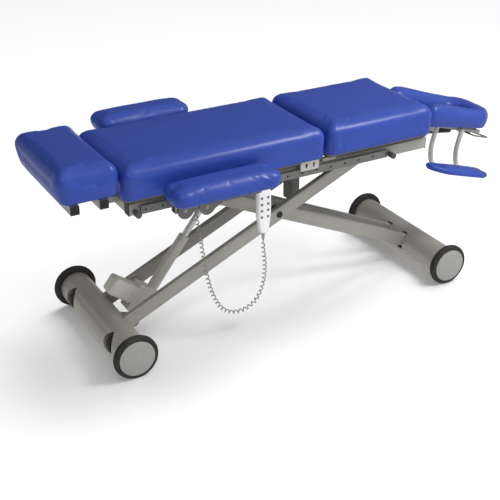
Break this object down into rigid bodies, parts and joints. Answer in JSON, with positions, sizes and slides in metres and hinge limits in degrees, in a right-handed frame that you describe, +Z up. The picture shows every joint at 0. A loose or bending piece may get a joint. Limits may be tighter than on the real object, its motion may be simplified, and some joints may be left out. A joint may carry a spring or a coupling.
{
  "type": "chiropractic table",
  "caption": "Height-adjustable treatment table on an X lift, with padded sections, a tilting headpiece with face opening, swinging armrests and a handset",
  "frame": {"origin": "on the floor, in the middle of the table's length and width", "axes": "+X towards the head end along the table, +Y towards the side away from the handset, +Z up"},
  "size_m": [2.1656, 0.824, 0.882],
  "materials": {
    "steel_tube": "brushed steel tube",
    "frame_paint": "satin warm grey paint",
    "plated_steel": "plated steel",
    "chrome_rod": "polished",
    "tyre_rubber": "matte",
    "silver_caps": "satin",
    "black_paint": "satin black paint",
    "black_plastic": "matte",
    "motor_plastic": "satin",
    "box_plastic": "matte",
    "cushion_vinyl": "smooth blue vinyl",
    "board_wood": "painted board",
    "handset_plastic": "smooth",
    "key_plastic": "matte",
    "cord_rubber": "matte"
  },
  "bodies": {
    "base": {"foot_tube": "steel_tube", "foot_tyres": "tyre_rubber", "foot_end_caps": "silver_caps", "base_pins": "plated_steel", "actuator_bracket": "frame_paint"},
    "transport": {"transport_wheels": "black_plastic"},
    "outer_lift": {"outer_arms": "frame_paint", "lift_pins": "black_plastic"},
    "inner_lift": {"inner_arms": "frame_paint", "actuator_yoke": "frame_paint", "roller_shaft": "plated_steel"},
    "upper_rollers": {"track_rollers": "black_plastic"},
    "rod": {"actuator_rod": "chrome_rod"},
    "actuator": {"actuator_tube": "silver_caps", "motor_housing": "motor_plastic"},
    "head_base": {"head_tube": "steel_tube"},
    "head_rollers": {"head_axle": "plated_steel", "head_tyres": "tyre_rubber", "head_end_caps": "silver_caps"},
    "bed_frame": {"frame_tubes": "frame_paint", "frame_plugs": "black_plastic", "frame_cross_members": "frame_paint", "frame_brackets": "frame_paint", "accessory_rails": "plated_steel", "rail_knobs": "black_plastic", "control_box": "box_plastic", "hinge_plates": "frame_paint", "middle_board": "board_wood", "middle_cushion": "cushion_vinyl", "handset_hook": "plated_steel", "handset_shell": "handset_plastic", "handset_keys": "key_plastic", "strain_relief": "black_plastic", "handset_cord": "cord_rubber", "cord_gland": "black_plastic"},
    "foot_section": {"foot_frame": "frame_paint", "foot_plugs": "black_plastic", "foot_board": "board_wood", "foot_cushion": "cushion_vinyl"},
    "thoracic_section": {"thoracic_board": "board_wood", "thoracic_hinge_arms": "frame_paint", "thoracic_cushion": "cushion_vinyl"},
    "head_section": {"head_cushion": "cushion_vinyl", "head_board": "board_wood", "head_rails": "frame_paint", "forearm_tubes": "plated_steel", "forearm_pads": "cushion_vinyl"},
    "gas_spring": {"gas_cylinder": "black_paint"},
    "gas_spring_rod": {"gas_rod": "chrome_rod"},
    "lever": {"head_lever": "plated_steel"},
    "carriage_front": {"armrest_carriage_front": "frame_paint"},
    "link_a_front": {"armrest_link_a_front": "plated_steel"},
    "link_b_front": {"armrest_link_b_front": "plated_steel"},
    "armrest_front": {"armrest_bracket_front": "plated_steel", "armrest_pad_front": "cushion_vinyl"},
    "carriage_rear": {"armrest_carriage_rear": "frame_paint"},
    "link_a_rear": {"armrest_link_a_rear": "plated_steel"},
    "link_b_rear": {"armrest_link_b_rear": "plated_steel"},
    "armrest_rear": {"armrest_bracket_rear": "plated_steel", "armrest_pad_rear": "cushion_vinyl"}
  },
  "joints": [
    {"name": "lift", "type": "hinge", "parent": "base", "child": "outer_lift", "pos_m": [-0.86, 0, 0.094], "axis": [0, -1, 0], "range_deg": [-12.18, 4.82]},
    {"name": "transport_wheels", "type": "hinge", "parent": "base", "child": "transport", "pos_m": [-0.894, 0, 0.094], "axis": [0, -1, 0], "continuous": true},
    {"name": "crossing", "type": "hinge", "parent": "outer_lift", "child": "inner_lift", "pos_m": [-0.085, 0, 0.44197], "axis": [0, -1, 0], "range_deg": [-9.64, 24.36]},
    {"name": "head_base", "type": "hinge", "parent": "inner_lift", "child": "head_base", "pos_m": [0.69, 0, 0.094], "axis": [0, -1, 0], "range_deg": [-12.18, 4.82]},
    {"name": "head_rollers", "type": "hinge", "parent": "head_base", "child": "head_rollers", "pos_m": [0.69, 0, 0.094], "axis": [0, -1, 0], "continuous": true},
    {"name": "upper_rollers", "type": "hinge", "parent": "inner_lift", "child": "upper_rollers", "pos_m": [-0.559, 0, 0.6548], "axis": [0, -1, 0], "continuous": true},
    {"name": "bed", "type": "hinge", "parent": "outer_lift", "child": "bed_frame", "pos_m": [0.389, 0, 0.6548], "axis": [0, -1, 0], "range_deg": [-4.82, 12.18]},
    {"name": "rod", "type": "hinge", "parent": "inner_lift", "child": "rod", "pos_m": [-0.29592, 0, 0.62601], "axis": [0, -1, 0], "range_deg": [-26.07, 10.31]},
    {"name": "actuator", "type": "slide", "parent": "rod", "child": "actuator", "axis": [-0.6091, 0, -0.7931], "range_m": [-0.14115, 0.05586]},
    {"name": "foot_section", "type": "slide", "parent": "bed_frame", "child": "foot_section", "axis": [1, 0, 0], "range_m": [-0.1, 0]},
    {"name": "thoracic_section", "type": "hinge", "parent": "bed_frame", "child": "thoracic_section", "pos_m": [0.067, 0, 0.6955], "axis": [0, -1, 0], "range_deg": [0, 3]},
    {"name": "head_section", "type": "hinge", "parent": "bed_frame", "child": "head_section", "pos_m": [0.627, 0, 0.728], "axis": [0, -1, 0], "range_deg": [-15, 35]},
    {"name": "gas_spring", "type": "hinge", "parent": "bed_frame", "child": "gas_spring", "pos_m": [0.619, 0, 0.641], "axis": [0, -1, 0], "range_deg": [-14.55, 33.95]},
    {"name": "gas_rod", "type": "slide", "parent": "gas_spring", "child": "gas_spring_rod", "axis": [0.9899, 0, -0.1419], "range_m": [-0.02251, 0.05253]},
    {"name": "head_lever", "type": "hinge", "parent": "head_section", "child": "lever", "pos_m": [0.99414, -0.033, 0.58304], "axis": [0, -1, 0], "range_deg": [0, 12]},
    {"name": "carriage_front", "type": "slide", "parent": "bed_frame", "child": "carriage_front", "axis": [1, 0, 0], "range_m": [-0.08, 0.12]},
    {"name": "armrest_front", "type": "hinge", "parent": "carriage_front", "child": "link_a_front", "pos_m": [-0.605, -0.286, 0.65], "axis": [0, -1, 0], "range_deg": [0, 55]},
    {"name": "link_b_front", "type": "hinge", "parent": "carriage_front", "child": "link_b_front", "pos_m": [-0.516, -0.293, 0.65], "axis": [0, -1, 0], "range_deg": [0, 55]},
    {"name": "pad_level_front", "type": "hinge", "parent": "link_a_front", "child": "armrest_front", "pos_m": [-0.49374, -0.286, 0.69495], "axis": [0, -1, 0], "range_deg": [-55, 0]},
    {"name": "carriage_rear", "type": "slide", "parent": "bed_frame", "child": "carriage_rear", "axis": [1, 0, 0], "range_m": [-0.08, 0.12]},
    {"name": "armrest_rear", "type": "hinge", "parent": "carriage_rear", "child": "link_a_rear", "pos_m": [-0.583, 0.286, 0.65], "axis": [0, -1, 0], "range_deg": [-55, 0]},
    {"name": "link_b_rear", "type": "hinge", "parent": "carriage_rear", "child": "link_b_rear", "pos_m": [-0.494, 0.293, 0.65], "axis": [0, -1, 0], "range_deg": [-55, 0]},
    {"name": "pad_level_rear", "type": "hinge", "parent": "link_a_rear", "child": "armrest_rear", "pos_m": [-0.55601, 0.286, 0.76692], "axis": [0, -1, 0], "range_deg": [0, 55]}
  ],
  "couplings": [
    {"joint": "crossing", "follows": "lift", "ratio": -2},
    {"joint": "head_base", "follows": "lift", "ratio": 1},
    {"joint": "bed", "follows": "lift", "ratio": -1},
    {"joint": "rod", "follows": "lift", "ratio": 2.14},
    {"joint": "actuator", "follows": "lift", "m_per_rad": 0.664},
    {"joint": "gas_spring", "follows": "head_section", "ratio": 0.97},
    {"joint": "gas_rod", "follows": "head_section", "m_per_rad": 0.086},
    {"joint": "link_b_front", "follows": "armrest_front", "ratio": 1},
    {"joint": "pad_level_front", "follows": "armrest_front", "ratio": -1},
    {"joint": "link_b_rear", "follows": "armrest_rear", "ratio": 1},
    {"joint": "pad_level_rear", "follows": "armrest_rear", "ratio": -1}
  ]
}
